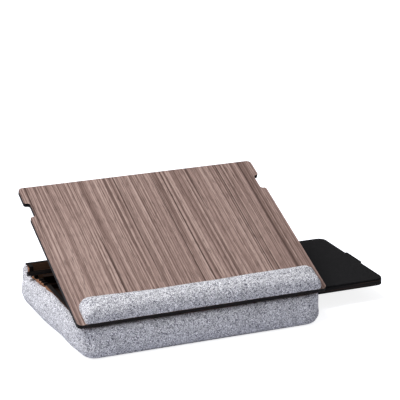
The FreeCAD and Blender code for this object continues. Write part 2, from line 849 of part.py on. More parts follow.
def prop_board(stems):
    """The prop: a board hinged under the top, with an ear at each side of its foot."""
    half = size["prop_width"] / 2
    reach = size["ear_span"] / 2
    foot = size["prop_length"]
    start = size["barrel_radius"] + size["knuckle_gap"]
    body = doc.addObject("PartDesign::Body", "PropBody")
    body_pad(body, "PropPad", -half, half, start, foot, prop_under, leaf_under)
    body_pad(body, "EarPad", -reach, reach, foot - size["ear_depth"], foot, prop_under, leaf_under)
    round_edges(body, "PropCorners", size["prop_corner"], lambda edge: near_y(edge, (start,)))
    keep("prop_board", cut("PropBoard", body, [stems]), on_prop)


# The drawer


def tabbed_board(label, inset, under, top):
    """A sheet of the drawer's outline, pull tab included, drawn in from it by an inset."""
    body = doc.addObject("PartDesign::Body", f"{label}Body")
    end = size["drawer_end"] - inset
    body_pad(body, f"{label}Pad", drawer_inner + inset, end, drawer_front + inset, drawer_back - inset,
             under, top)
    round_edges(body, f"{label}Corners", size["drawer_corner"] - inset, is_upright)
    front = size["drawer_middle"] - size["tab_width"] / 2 + inset
    back = size["drawer_middle"] + size["tab_width"] / 2 - inset
    tip = end + size["tab_out"]
    body_pad(body, f"{label}Tab", end - size["drawer_corner"], tip, front, back, under, top)
    round_edges(body, f"{label}TabCorners", size["tab_corner"],
                lambda edge: is_upright(edge) and abs(edge.BoundBox.XMax - tip.value) < CLOSE)
    return body


def drawer():
    """The sliding board and the felt glued on it."""
    keep("drawer_board", tabbed_board("Drawer", zero, size["drawer_under"], drawer_face))
    keep("drawer_felt", tabbed_board("Felt", size["pad_inset"], drawer_face, drawer_top))


def drawer_cleat():
    """A strip under the drawer's inner end that meets the stops."""
    front = size["drawer_middle"] - size["cleat_width"] / 2
    back = size["drawer_middle"] + size["cleat_width"] / 2
    under = board_top + size["drawer_gap"]
    right = cleat_left + size["cleat_length"]
    keep("drawer_cleat", block("DrawerCleat", cleat_left, right, front, back, under,
                               size["drawer_under"]))


# Making everything

base_stems, top_stems = front_hinges()
far_stems, prop_stems = prop_hinges()
trim = padding_trim()
hollow = cushion_cover(trim)
foam_pieces(hollow, trim)
floor_board()
front_wall(base_stems)
back_wall()
side_wall("left_wall", -half_box, -bay_side)
side_wall("right_wall", bay_side, half_box)
drawer_rail("drawer_rail_front", drawer_front, -1)
drawer_rail("drawer_rail_back", drawer_back, 1)
drawer_stops()
top_board(top_stems, far_stems)
wrist_rest()
prop_board(prop_stems)
drawer()
drawer_cleat()
doc.recompute()

for thing in doc.Objects:
    if "Invalid" in thing.State or "Error" in thing.State:
        raise RuntimeError(f"{thing.Name} did not build: {thing.State}")
for thing in sub_parts:
    if thing.Shape.isNull() or not thing.Shape.isValid():
        raise RuntimeError(f"{thing.Label} has no valid shape")
for thing in sub_parts:
    thing.Shape.exportStep(f"parts/{thing.Label}.step")
    box = thing.Shape.BoundBox
    ends = (box.XMin, box.XMax, box.YMin, box.YMax, box.ZMin, box.ZMax)
    print(thing.Label, len(thing.Shape.Solids), round(thing.Shape.Volume), *(round(end, 1) for end in ends))
print(len(sub_parts), "sub-parts written")
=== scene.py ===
# %% [markdown]
# A lap stand with a padded base, a tilting walnut top and a drawer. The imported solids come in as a
# fixed frame, in metres, with Z up. They carry the boards, the hinges and everything that moves.
# This script dresses them: it makes the soft pieces and the finishes.

# %% Load the frame
import json
import math
import bmesh
import bpy
from mathutils import Matrix, Vector, noise


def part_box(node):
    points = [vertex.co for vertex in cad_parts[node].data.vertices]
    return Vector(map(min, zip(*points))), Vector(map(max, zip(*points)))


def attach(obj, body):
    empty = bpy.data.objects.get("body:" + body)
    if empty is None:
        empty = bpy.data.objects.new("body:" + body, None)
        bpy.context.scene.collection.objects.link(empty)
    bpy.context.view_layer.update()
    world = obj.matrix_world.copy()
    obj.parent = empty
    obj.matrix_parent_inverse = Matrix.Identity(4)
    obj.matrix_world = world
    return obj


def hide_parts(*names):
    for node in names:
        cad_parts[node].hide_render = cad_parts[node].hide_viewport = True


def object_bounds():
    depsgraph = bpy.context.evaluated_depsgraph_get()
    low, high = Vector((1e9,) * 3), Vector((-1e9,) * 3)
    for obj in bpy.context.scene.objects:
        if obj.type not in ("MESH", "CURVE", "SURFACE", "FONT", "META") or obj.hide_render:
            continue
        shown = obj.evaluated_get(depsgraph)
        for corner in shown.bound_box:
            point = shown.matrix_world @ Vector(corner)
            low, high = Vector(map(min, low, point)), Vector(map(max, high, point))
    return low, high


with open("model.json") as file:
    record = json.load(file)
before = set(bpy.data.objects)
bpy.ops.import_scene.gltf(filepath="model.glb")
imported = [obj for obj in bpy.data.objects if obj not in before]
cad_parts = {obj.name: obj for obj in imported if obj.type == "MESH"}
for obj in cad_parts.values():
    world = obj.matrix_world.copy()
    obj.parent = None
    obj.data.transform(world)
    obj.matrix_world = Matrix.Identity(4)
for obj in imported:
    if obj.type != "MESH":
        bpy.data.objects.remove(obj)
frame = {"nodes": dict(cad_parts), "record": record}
solid_low, solid_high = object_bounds()
MM = 0.001
print("solids reach from", solid_low[:], "to", solid_high[:])

# %% [markdown]
# The places that the soft pieces need come from the frame, so they fit whatever the solids are. The
# line from the front hinge to the prop's hinge lies in the top board, so it gives the tilt.

# %% Places in the frame
joints = {joint["name"]: joint for joint in frame["record"]["behaviour"]["joints"]}
front_axis = Vector(joints["panel_tilt"]["pos_m"])
prop_axis = Vector(joints["prop_swing"]["pos_m"])
board_line = prop_axis - front_axis
tilt = math.atan2(board_line.z, board_line.y)
top_place = Matrix.Translation(front_axis) @ Matrix.Rotation(tilt, 4, "X")
box_low = Vector(map(min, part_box("left_wall")[0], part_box("front_wall")[0]))
box_high = Vector(map(max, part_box("right_wall")[1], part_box("back_wall")[1]))
cover_low, cover_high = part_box("cushion_cover")
print("tilt of the top in degrees", round(math.degrees(tilt), 2))

# %% [markdown]
# The camera stands left of the middle and looks down on the stand, as a shop photograph does. Its
# place was worked out from the perspective of the photograph and the real size of the stand. A long
# lens keeps the perspective gentle, and the small roll turns the picture as the photograph has it.

# %% Camera
LENS_MM = 150.37
SENSOR_MM = 36.0
ROLL = math.radians(-0.664)
EYE = Vector((-0.8288, -2.2040, 0.8899))
AIM = Vector((0.0525, -0.0035, 0.16524))
camera_data = bpy.data.cameras.new("camera")
camera_data.lens = LENS_MM
camera_data.sensor_width = SENSOR_MM
camera = bpy.data.objects.new("camera", camera_data)
bpy.context.scene.collection.objects.link(camera)
look = (AIM - EYE).to_track_quat("-Z", "Y").to_matrix().to_4x4()
camera.matrix_world = Matrix.Translation(EYE) @ look @ Matrix.Rotation(ROLL, 4, "Z")
bpy.context.scene.camera = camera
print("camera is", round((AIM - EYE).length, 3), "m from what it looks at")

# %% [markdown]
# Three small helpers serve every material. Colours are written as the hex codes a picture editor
# shows, and one function turns them to the linear values that shaders use. Another adds a node with
# its settings and links, which keeps each material as a short list. The last starts a material.

# %% Material helpers


def linear(code):
    """Linear RGBA of a six-digit sRGB colour."""
    parts = [int(code[place:place + 2], 16) / 255 for place in (1, 3, 5)]
    curve = [part / 12.92 if part <= 0.04045 else ((part + 0.055) / 1.055) ** 2.4 for part in parts]
    return (*curve, 1.0)


def add(tree, kind, inputs=(), stops=(), **settings):
    """Adds a node with its settings. Inputs pair a socket with a value or with what is linked to it."""
    node = tree.nodes.new(kind)
    for name, value in settings.items():
        setattr(node, name, value)
    for socket, value in dict(inputs).items():
        if isinstance(value, bpy.types.NodeSocket):
            tree.links.new(value, node.inputs[socket])
        else:
            node.inputs[socket].default_value = value
    for index, (place, code) in enumerate(stops):
        ramp = node.color_ramp.elements
        stop = ramp[index] if index < 2 else ramp.new(place)
        stop.position = place
        stop.color = linear(code)
    return node


def new_material(name):
    """A material with its shader and the Object coordinates that every pattern here reads."""
    material = bpy.data.materials.new(name)
    material.use_nodes = True
    tree = material.node_tree
    shader = tree.nodes["Principled BSDF"]
    place = add(tree, "ShaderNodeTexCoord")
    return material, tree, shader, place


def feed(tree, shader, links):
    """Links outputs to the shader's sockets by name."""
    for socket, output in links.items():
        tree.links.new(output, shader.inputs[socket])


# %% [markdown]
# The boards are plywood with a walnut veneer, cut by laser and lightly oiled. Walnut has fine
# straight streaks along the grain, a few thin dark lines, a slow drift of tone across the board,
# and pores that show as short dashes. All are noise stretched along the grain. Each pattern's size
# is given across the grain and along it, in millimetres, and each finish as a dark, a middle and a
# light tone and the colour of its thin lines. The laser chars the cut, so each face that isn't the
# veneer's own face is nearly black, with faint plies. Faces that look into the box get dark tones
# as painted shade, for the shadow inside the box. A face's direction in the object's own space
# tells which.

# %% Walnut veneer with charred edges
OILED = ("#6B5751", "#907972", "#AD978F", "#45342F")
WARM = ("#6B4630", "#99694A", "#BA8A67", "#3B2619")
# The next two finishes are painted shade: dark tones for the faces inside the box, a little lighter for
# the back wall's inner face, which lies less in shadow.
INSIDE_SHADE = ("#1B120E", "#2C1C15", "#3C271D", "#0C0807")
BACK_INSIDE_SHADE = ("#3D2C23", "#5C4536", "#735848", "#1B120E")
CHAR_DARK = "#0E0C0D"
CHAR_BROWN = "#221915"
STREAK_MM = (2.6, 900.0)
BROAD_MM = (24.0, 900.0)
BROAD_WEIGHT = 0.2
LINE_MM = (4.2, 2500.0)
PORE_MM = (1.0, 20.0)
PORE_DEEP_MM = 0.12
DRIFT_MM = (60.0, 400.0)
WANDER_MM = 8.0
PLY_MM = 2.2
PLY_RUN_MM = 60.0
TONES_AT = (0.37, 0.5, 0.63)
SHADE_TONES_AT = (0.34, 0.5, 0.68)
CHAR_AT = (0.45, 0.75)
NOISE_MIDDLE = (0.5, 0.5, 0.5)
NOWHERE = Vector((0, 0, 0))
# Each span is the start and end of what comes in, and what they turn to.
LINE_SPAN = (0.38, 0.31, 0.0, 0.85)
PORE_SPAN = (0.52, 0.66, 0.0, 0.6)
ROUGH_SPAN = (0.3, 0.7, 0.66, 0.52)
SHADE_FACING_SPAN = (0.69, 0.7, 0.0, 1.0)
EDGE_SPAN = (0.70, 0.69, 0.0, 1.0)
PORE_BUMP = 0.3
OIL_IOR = 1.45
OIL_GLOSS = 0.15


def walnut(name, board, tones, inward=NOWHERE, shade_tones=INSIDE_SHADE, charred=True):
    """The columns of board are the directions across the grain, along it and off the face.

    Inward is the direction of the face that looks into the box, if there is one, and the next argument
    gives the dark tones painted there as shade.
    """
    material, tree, shader, place = new_material(name)
    turn = board.to_euler()
    spot = place.outputs["Object"]

    def stretched(size_mm, detail, rough, source=None):
        """Noise of a real size across and along the grain."""
        size = (size_mm[0] * MM, size_mm[1] * MM, size_mm[0] * MM)
        here = add(tree, "ShaderNodeMapping",
                   {"Vector": source or wander.outputs["Vector"], "Rotation": turn, "Scale": size},
                   vector_type="TEXTURE")
        return add(tree, "ShaderNodeTexNoise", {"Vector": here.outputs["Vector"], "Scale": 1.0,
                                                "Detail": detail, "Roughness": rough})

    def blend(share, one, two):
        """Colour between the two. The numbers are the node's own places for colours."""
        mixed = add(tree, "ShaderNodeMix", {"Factor": share, 6: one, 7: two}, data_type="RGBA")
        return mixed.outputs[2]

    def ranged(value, start, end, low, high):
        """What lies from start to end, spread from low to high."""
        spread = add(tree, "ShaderNodeMapRange", {"Value": value, "From Min": start, "From Max": end,
                                                  "To Min": low, "To Max": high})
        return spread.outputs["Result"]

    def faces(direction):
        """Share of a face's normal that points one way."""
        facing = add(tree, "ShaderNodeVectorMath", {0: place.outputs["Normal"], 1: direction},
                     operation="DOT_PRODUCT")
        return facing.outputs["Value"]

    def toned(places, colours):
        """The streaks run from the dark tone over the middle one to the light one."""
        dark, middle, light = zip(places, colours)
        return add(tree, "ShaderNodeValToRGB", {"Fac": summed.outputs["Value"]}, [dark, light, middle])

    drift = stretched(DRIFT_MM, detail=1.0, rough=0.5, source=spot)
    centred = add(tree, "ShaderNodeVectorMath", {0: drift.outputs["Color"], 1: NOISE_MIDDLE},
                  operation="SUBTRACT")
    wander = add(tree, "ShaderNodeVectorMath",
                 {0: centred.outputs["Vector"], 1: (WANDER_MM * MM,) * 3, 2: spot},
                 operation="MULTIPLY_ADD")
    streaks = stretched(STREAK_MM, detail=3.0, rough=0.6)
    broad = stretched(BROAD_MM, detail=1.0, rough=0.5)
    both = add(tree, "ShaderNodeMath", {0: broad.outputs["Fac"], 1: BROAD_WEIGHT, 2: -BROAD_WEIGHT / 2},
               operation="MULTIPLY_ADD")
    summed = add(tree, "ShaderNodeMath", {0: streaks.outputs["Fac"], 1: both.outputs["Value"]},
                 operation="ADD")
    tone = toned(TONES_AT, tones)
    lines = stretched(LINE_MM, detail=0.0, rough=0.5)
    in_line = ranged(lines.outputs["Fac"], *LINE_SPAN)
    lined = blend(in_line, tone.outputs["Color"], linear(tones[3]))
    pores = stretched(PORE_MM, detail=2.0, rough=0.6)
    in_pore = ranged(pores.outputs["Fac"], *PORE_SPAN)
    veneer = blend(in_pore, lined, linear(tones[3]))
    dullness = ranged(streaks.outputs["Fac"], *ROUGH_SPAN)
    # Faces that look into the box take these dark tones as painted shade, since the inside of the box
    # lies in shadow.
    if inward.length > 0:
        inside = toned(SHADE_TONES_AT, shade_tones)
        veneer = blend(ranged(faces(inward), *SHADE_FACING_SPAN), veneer, inside.outputs["Color"])
    if charred:
        level = add(tree, "ShaderNodeMath", {0: faces(board.col[2])}, operation="ABSOLUTE")
        edge = ranged(level.outputs["Value"], *EDGE_SPAN)
        run = (PLY_RUN_MM * MM, PLY_RUN_MM * MM, PLY_MM * MM)
        plies = add(tree, "ShaderNodeMapping", {"Vector": spot, "Rotation": turn, "Scale": run},
                    vector_type="TEXTURE")
        layer = add(tree, "ShaderNodeTexNoise",
                    {"Vector": plies.outputs["Vector"], "Scale": 1.0, "Detail": 2.0})
        char = add(tree, "ShaderNodeValToRGB", {"Fac": layer.outputs["Fac"]},
                   zip(CHAR_AT, (CHAR_DARK, CHAR_BROWN)))
        veneer = blend(edge, veneer, char.outputs["Color"])
    bump = add(tree, "ShaderNodeBump",
               {"Height": pores.outputs["Fac"], "Strength": PORE_BUMP, "Distance": PORE_DEEP_MM * MM})
    feed(tree, shader, {"Base Color": veneer, "Roughness": dullness, "Normal": bump.outputs["Normal"]})
    shader.inputs["IOR"].default_value = OIL_IOR
    shader.inputs["Specular IOR Level"].default_value = OIL_GLOSS
    return material


# %% [markdown]
# Each board gets the veneer turned to its own grain: front to back on the top, the prop and the
# sides, left to right on the front and back walls. The columns of each matrix say so. The walls'
# faces that look into the box and the prop's lower face get dark tones as painted shade, the back
# wall's a little lighter as it lies less in shadow. The floor, the rails, the stops and the cleat are
# painted dark all over, as painted shade inside the box.

# %% Dress the boards
FLAT = Matrix.Identity(3)
UPRIGHT_SIDE = Matrix(((0, 0, 1), (0, 1, 0), (-1, 0, 0)))
UPRIGHT_FRONT = Matrix(((0, 1, 0), (0, 0, 1), (1, 0, 0)))
LENGTHWAYS = Matrix(((0, 1, 0), (-1, 0, 0), (0, 0, 1)))
RIGHT = Vector((1, 0, 0))
BACK = Vector((0, 1, 0))
prop_low, prop_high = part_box("prop_board")
prop_line = Vector((0, prop_high.y, prop_low.z)) - prop_axis
lean = math.atan2(prop_line.z, prop_line.y)
prop_place = Matrix.Rotation(lean, 3, "X")
boards = {
    "top_board": walnut("walnut_veneer_top", Matrix.Rotation(tilt, 3, "X"), OILED),
    # The prop's lower face and the walls' inner faces get the painted shade of the inside of the box.
    "prop_board": walnut("walnut_veneer_prop", prop_place, WARM, -prop_place.col[2]),
    "left_wall": walnut("walnut_veneer_left", UPRIGHT_SIDE, WARM, RIGHT),
    "right_wall": walnut("walnut_veneer_right", UPRIGHT_SIDE, WARM, -RIGHT),
    "front_wall": walnut("walnut_veneer_front", UPRIGHT_FRONT, WARM, BACK),
    "back_wall": walnut("walnut_veneer_back", UPRIGHT_FRONT, WARM, -BACK, BACK_INSIDE_SHADE),
    # The floor, the rails, the stops and the cleat are dark all over: painted shade inside the box.
    "floor_board": walnut("walnut_painted_shade_floor", FLAT, INSIDE_SHADE),
    "drawer_rail_front": walnut("walnut_painted_shade_rails", LENGTHWAYS, INSIDE_SHADE, charred=False),
}
for name in ("drawer_rail_back", "drawer_stops", "drawer_cleat"):
    boards[name] = boards["drawer_rail_front"]
for name, material in boards.items():
    frame["nodes"][name].material_slots[0].material = material
print("boards dressed:", len(boards))

# %% [markdown]
# The cushion and the wrist rest are covered in a melange wool felt: light, middle and dark fibres
# are carded together, so the cloth is a salt and pepper of short curly flecks. It has no weave and
# no shine, but its loose fibres catch light at grazing angles, which sheen gives. A distorted noise
# curls the flecks, and a slow one clusters them a little, as carding does. The drawer's felt is the
# same cloth, dyed black.

# %% Melange felt
FELT_LIGHT = "#F4F4F8"
FELT_MIDDLE = "#B6B6C0"
FELT_DARK = "#343444"
BLACK_DARK = "#020204"
BLACK_LIGHT = "#18171A"
FLECK_MM = 2.0
FLECK_DEEP_MM = 1.0
FLECK_CURL = 2.0
FLECK_BUMP = 0.8
CLOUDS_PER_METRE = 70.0
CLOUD_LOW = 0.9
CLOUD_HIGH = 1.06
GREY_AT = (0.41, 0.58, 0.48)
BLACK_AT = (0.42, 0.58)
GREY_SHEEN = 0.15
BLACK_SHEEN = 0.03
SHEEN_ROUGH = 0.6
FELT_ROUGH = 0.95
FELT_IOR = 1.5
FELT_GLOSS = 0.1


def felt_material(name, stops, sheen, nap):
    """Felt whose flecks run through the colours of the stops. Nap is the flecks' depth in mm."""
    material, tree, shader, place = new_material(name)
    size = (FLECK_MM * MM,) * 3
    spots = add(tree, "ShaderNodeMapping", {"Vector": place.outputs["Object"], "Scale": size},
                vector_type="TEXTURE")
    flecks = add(tree, "ShaderNodeTexNoise",
                 {"Vector": spots.outputs["Vector"], "Scale": 1.0, "Detail": 2.0, "Roughness": 0.6,
                  "Distortion": FLECK_CURL})
    colour = add(tree, "ShaderNodeValToRGB", {"Fac": flecks.outputs["Fac"]}, stops)
    cloud = add(tree, "ShaderNodeTexNoise",
                {"Vector": place.outputs["Object"], "Scale": CLOUDS_PER_METRE, "Detail": 2.0})
    shade = add(tree, "ShaderNodeMapRange", {"Value": cloud.outputs["Fac"], "From Min": 0.3,
                                             "From Max": 0.7, "To Min": CLOUD_LOW,
                                             "To Max": CLOUD_HIGH})
    tinted = add(tree, "ShaderNodeVectorMath",
                 {0: colour.outputs["Color"], "Scale": shade.outputs["Result"]}, operation="SCALE")
    bump = add(tree, "ShaderNodeBump",
               {"Height": flecks.outputs["Fac"], "Strength": FLECK_BUMP, "Distance": nap * MM})
    feed(tree, shader, {"Base Color": tinted.outputs["Vector"], "Normal": bump.outputs["Normal"]})
    shader.inputs["Roughness"].default_value = FELT_ROUGH
    shader.inputs["IOR"].default_value = FELT_IOR
    shader.inputs["Specular IOR Level"].default_value = FELT_GLOSS
    shader.inputs["Sheen Weight"].default_value = sheen
    shader.inputs["Sheen Roughness"].default_value = SHEEN_ROUGH
    return material


grey_stops = zip(GREY_AT, (FELT_DARK, FELT_LIGHT, FELT_MIDDLE))
black_stops = zip(BLACK_AT, (BLACK_DARK, BLACK_LIGHT))
grey_felt = felt_material("melange_wool_felt", grey_stops, GREY_SHEEN, FLECK_DEEP_MM)
black_felt = felt_material("black_wool_felt", black_stops, BLACK_SHEEN, FLECK_DEEP_MM / 2)
print("felts made")

# %% [markdown]
# The drawer board is dark stained plywood. Its cut edge shows the layers as thin brown and black
# lines, so one noise is squeezed to the thickness of a ply.

# %% Stained plywood of the drawer
STAIN_DARK = "#0D0B0C"
STAIN_BROWN = "#2C1F1A"
LAYER_MM = 1.6
LAYER_RUN_MM = 80.0
LAYERS_AT = (0.42, 0.62)
GRAIN_BUMP = 0.3
GRAIN_DEEP_MM = 0.2
STAIN_ROUGH = 0.7
STAIN_GLOSS = 0.2
dark_board, tree, shader, place = new_material("stained_plywood")
run = (LAYER_RUN_MM * MM, LAYER_RUN_MM * MM, LAYER_MM * MM)
layers = add(tree, "ShaderNodeMapping", {"Vector": place.outputs["Object"], "Scale": run},
             vector_type="TEXTURE")
layer = add(tree, "ShaderNodeTexNoise",
            {"Vector": layers.outputs["Vector"], "Scale": 1.0, "Detail": 2.0})
stain = add(tree, "ShaderNodeValToRGB", {"Fac": layer.outputs["Fac"]},
            zip(LAYERS_AT, (STAIN_DARK, STAIN_BROWN)))
grain = add(tree, "ShaderNodeBump",
            {"Height": layer.outputs["Fac"], "Strength": GRAIN_BUMP, "Distance": GRAIN_DEEP_MM * MM})
feed(tree, shader, {"Base Color": stain.outputs["Color"], "Normal": grain.outputs["Normal"]})
shader.inputs["Roughness"].default_value = STAIN_ROUGH
shader.inputs["Specular IOR Level"].default_value = STAIN_GLOSS
frame["nodes"]["drawer_board"].material_slots[0].material = dark_board

# %% [markdown]
# The hinges are stamped from mild steel with a dull nickel finish. The rolling leaves faint lines
# along the barrel, which a noise stretched along X gives to the roughness.

# %% Nickelled steel of the hinges
NICKEL = "#B3AEA6"
DRAWN_RUN_MM = 30.0
DRAWN_MM = 0.6
STEEL_SMOOTH = 0.28
STEEL_ROUGH = 0.5
steel, tree, shader, place = new_material("nickelled_steel")
run = (DRAWN_RUN_MM * MM, DRAWN_MM * MM, DRAWN_MM * MM)
streaks = add(tree, "ShaderNodeMapping", {"Vector": place.outputs["Object"], "Scale": run},
              vector_type="TEXTURE")
drawn = add(tree, "ShaderNodeTexNoise",
            {"Vector": streaks.outputs["Vector"], "Scale": 1.0, "Detail": 3.0})
dull = add(tree, "ShaderNodeMapRange",
           {"Value": drawn.outputs["Fac"], "To Min": STEEL_SMOOTH, "To Max": STEEL_ROUGH})
feed(tree, shader, {"Roughness": dull.outputs["Result"]})
shader.inputs["Base Color"].default_value = linear(NICKEL)
shader.inputs["Metallic"].default_value = 1.0
hinge_nodes = [name for name in frame["nodes"] if "hinge" in name]
for name in hinge_nodes:
    frame["nodes"][name].material_slots[0].material = steel
print("steel nodes:", len(hinge_nodes))

# %% [markdown]
# Soft pieces start as a bmesh block, get an even skin from a voxel remesh, and are then blown up as
# cloth over stuffing. The helpers here finish a mesh, blow it up and cut it.

# %% Mesh helpers
PRESSURE = 4.0
FRAMES = 20
OVERRUN = 0.01


def new_piece(name, bm):
    """Turns a bmesh into an object at the origin."""
    mesh = bpy.data.meshes.new(name)
    bm.to_mesh(mesh)
    bm.free()
    piece = bpy.data.objects.new(name, mesh)
    bpy.context.scene.collection.objects.link(piece)
    return piece


def apply_modifiers(piece):
    """Makes what the modifiers show the piece's own mesh."""
    shown = piece.evaluated_get(bpy.context.evaluated_depsgraph_get())
    mesh = bpy.data.meshes.new_from_object(shown)
    piece.modifiers.clear()
    old = piece.data
    piece.data = mesh
    bpy.data.meshes.remove(old)


def remesh(piece, voxel_mm):
    """Gives a closed piece an even skin of small squares."""
    skin = piece.modifiers.new("even skin", "REMESH")
    skin.mode = "VOXEL"
    skin.voxel_size = voxel_mm * MM
    apply_modifiers(piece)


def swell(piece, held, cap_mm):
    """Blows the piece up as cloth. Held says which points stay. No point moves past the cap."""
    start = [vertex.co.copy() for vertex in piece.data.vertices]
    group = piece.vertex_groups.new(name="held")
    group.add([index for index, point in enumerate(start) if held(point)], 1.0, "REPLACE")
    cloth = piece.modifiers.new("stuffing", "CLOTH")
    cloth.settings.vertex_group_mass = "held"
    cloth.settings.use_pressure = True
    cloth.settings.uniform_pressure_force = PRESSURE
    cloth.settings.effector_weights.gravity = 0.0
    cloth.point_cache.frame_end = FRAMES
    for step in range(1, FRAMES + 1):
        bpy.context.scene.frame_set(step)
    apply_modifiers(piece)
    piece.vertex_groups.clear()
    bpy.context.scene.frame_set(1)
    furthest = 0.0
    for point, vertex in zip(start, piece.data.vertices):
        move = vertex.co - point
        furthest = max(furthest, move.length)
        if move.length > cap_mm * MM:
            vertex.co = point + move.normalized() * cap_mm * MM
    print(piece.name, "swelled by up to", round(furthest / MM, 1), "mm, kept to", cap_mm)


def rounded_block(low, high, corner, lower, upper, steps=6):
    """A block with round upright corners, and lower and upper edges of their own radius."""
    bm = bmesh.new()
    size = high - low
    middle = (low + high) / 2
    bmesh.ops.create_cube(bm, size=1.0)
    bmesh.ops.scale(bm, vec=size, verts=bm.verts)
    bmesh.ops.translate(bm, vec=middle, verts=bm.verts)
    upright = [edge for edge in bm.edges if abs(edge.verts[0].co.z - edge.verts[1].co.z) > size.z / 2]
    bmesh.ops.bevel(bm, geom=upright, offset=corner, offset_type="OFFSET", segments=steps, profile=0.5,
                    affect="EDGES", material=-1)
    for level, radius in ((low.z, lower), (high.z, upper)):
        rim = [edge for edge in bm.edges
               if all(abs(vert.co.z - level) < size.z / 100 for vert in edge.verts)]
        bmesh.ops.bevel(bm, geom=rim, offset=radius, offset_type="OFFSET", segments=steps, profile=0.5,
                        affect="EDGES", material=-1)
    return bm


def cut_away(piece, low, high):
    """Takes a box out of the piece."""
    bm = bmesh.new()
    bmesh.ops.create_cube(bm, size=1.0)
    bmesh.ops.scale(bm, vec=high - low, verts=bm.verts)
    bmesh.ops.translate(bm, vec=(low + high) / 2, verts=bm.verts)
    tool = new_piece("tool", bm)
    knife = piece.modifiers.new("cut", "BOOLEAN")
    knife.operation = "DIFFERENCE"
    knife.object = tool
    knife.solver = "EXACT"
    apply_modifiers(piece)
    bpy.data.objects.remove(tool)


def soften(piece):
    """Doubles the skin's squares and rounds it."""
    skin = piece.modifiers.new("soft skin", "SUBSURF")
    skin.levels = 1
    skin.render_levels = 1
    apply_modifiers(piece)


def shade_smooth(piece):
    """Shades the piece as one smooth skin."""
    for face in piece.data.polygons:
        face.use_smooth = True


# %% [markdown]
# The base cushion is foam in a felt cover, wrapped round the walnut box and tucked in at its rim.
# It could be lofted by hand, but a real cover bulges between its corners and where the foam is
# thick, so the block is blown up as cloth. The hollow for the box and the way for the drawer are
# cut last, which keeps their edges crisp, as cut felt has them.

# %% Base cushion
COVER_CORNER_MM = 17.0
COVER_ROUND_MM = 10.0
COVER_RIM_MM = 4.5
COVER_CAP_MM = 4.0
SKIN_MM = 4.5
FIT_MM = 0.3
HELD_MM = 2.0
block = rounded_block(cover_low, cover_high, COVER_CORNER_MM * MM, COVER_ROUND_MM * MM,
                      COVER_RIM_MM * MM)
base_cushion = new_piece("base_cushion", block)
remesh(base_cushion, SKIN_MM)
inner_low = Vector((box_low.x, box_low.y, 0))
inner_high = Vector((box_high.x, box_high.y, 1))


def under_or_over_box(point):
    """True on the flat top and bottom, away from the rim."""
    inside = all(inner_low[axis] < point[axis] < inner_high[axis] for axis in (0, 1))
    return inside and (point.z < COVER_ROUND_MM * MM / 2 or point.z > cover_high.z - HELD_MM * MM)


swell(base_cushion, under_or_over_box, COVER_CAP_MM)
soften(base_cushion)
print("cushion has", len(base_cushion.data.polygons), "faces before the cuts")

# %% [markdown]
# The rim of the cover isn't level: it dips where the prop's ears pass, behind the middle of each
# side. The foam also spreads near the floor, most at the sides behind the middle. Two short lists
# of places along the side give the rim's height and the spread, with smooth steps between the
# places. A third makes the cushion narrower towards its ends, where the foam is thin, and the front
# corners are drawn in near the floor, as the felt is folded under there. A slow noise then gives
# the felt the slight unevenness of cloth over foam, and a tuck is pinched where the dip starts. All
# places are counted from the middle to the back.

# %% Shape the rim and the sides
RIM_MM = [(-150.0, 50.0), (-40.0, 51.0), (0.0, 50.5), (25.0, 47.8), (33.0, 46.2), (38.5, 47.8),
          (47.0, 45.0), (70.0, 42.5), (92.0, 41.0), (110.0, 39.3), (125.0, 39.3), (135.0, 51.5)]
SPREAD_MM = [(-140.0, 0.0), (-65.0, 1.0), (26.0, 4.5), (100.0, 5.5), (150.0, 1.5)]
NARROW_MM = [(-120.0, 3.3), (-65.0, 2.8), (26.0, 0.0), (95.0, 0.0), (150.0, 1.8)]
CORNER_DRAW_MM = 9.0
CORNER_BACK_SHARE = 0.1
CORNER_REACH_MM = 60.0
CORNER_HIGH_MM = 17.0
RIM_START_MM = 13.5
FRONT_SPREAD_MM = 2.5
SIDE_POWER = 4
LIFT_POWER = 1.5
PUCKER_MM = 0.8
PUCKER_FULL_MM = 20.0
PUCKERS_PER_METRE = 28.0
CREASES_PER_METRE = 70.0
CREASE_SHARE = 0.4
TUCK_BACK_MM = 37.0
TUCK_DEPTH_MM = 3.5
TUCK_WIDTH_MM = 3.0
TUCK_DROP_MM = 16.0


def eased(places, back):
    """Value at a place along Y from a list of places, with smooth steps. All are in millimetres."""
    if back <= places[0][0]:
        return places[0][1]
    for (near, low), (far, high) in zip(places, places[1:]):
        if back <= far:
            share = (back - near) / (far - near)
            return low + (high - low) * share * share * (3 - 2 * share)
    return places[-1][1]


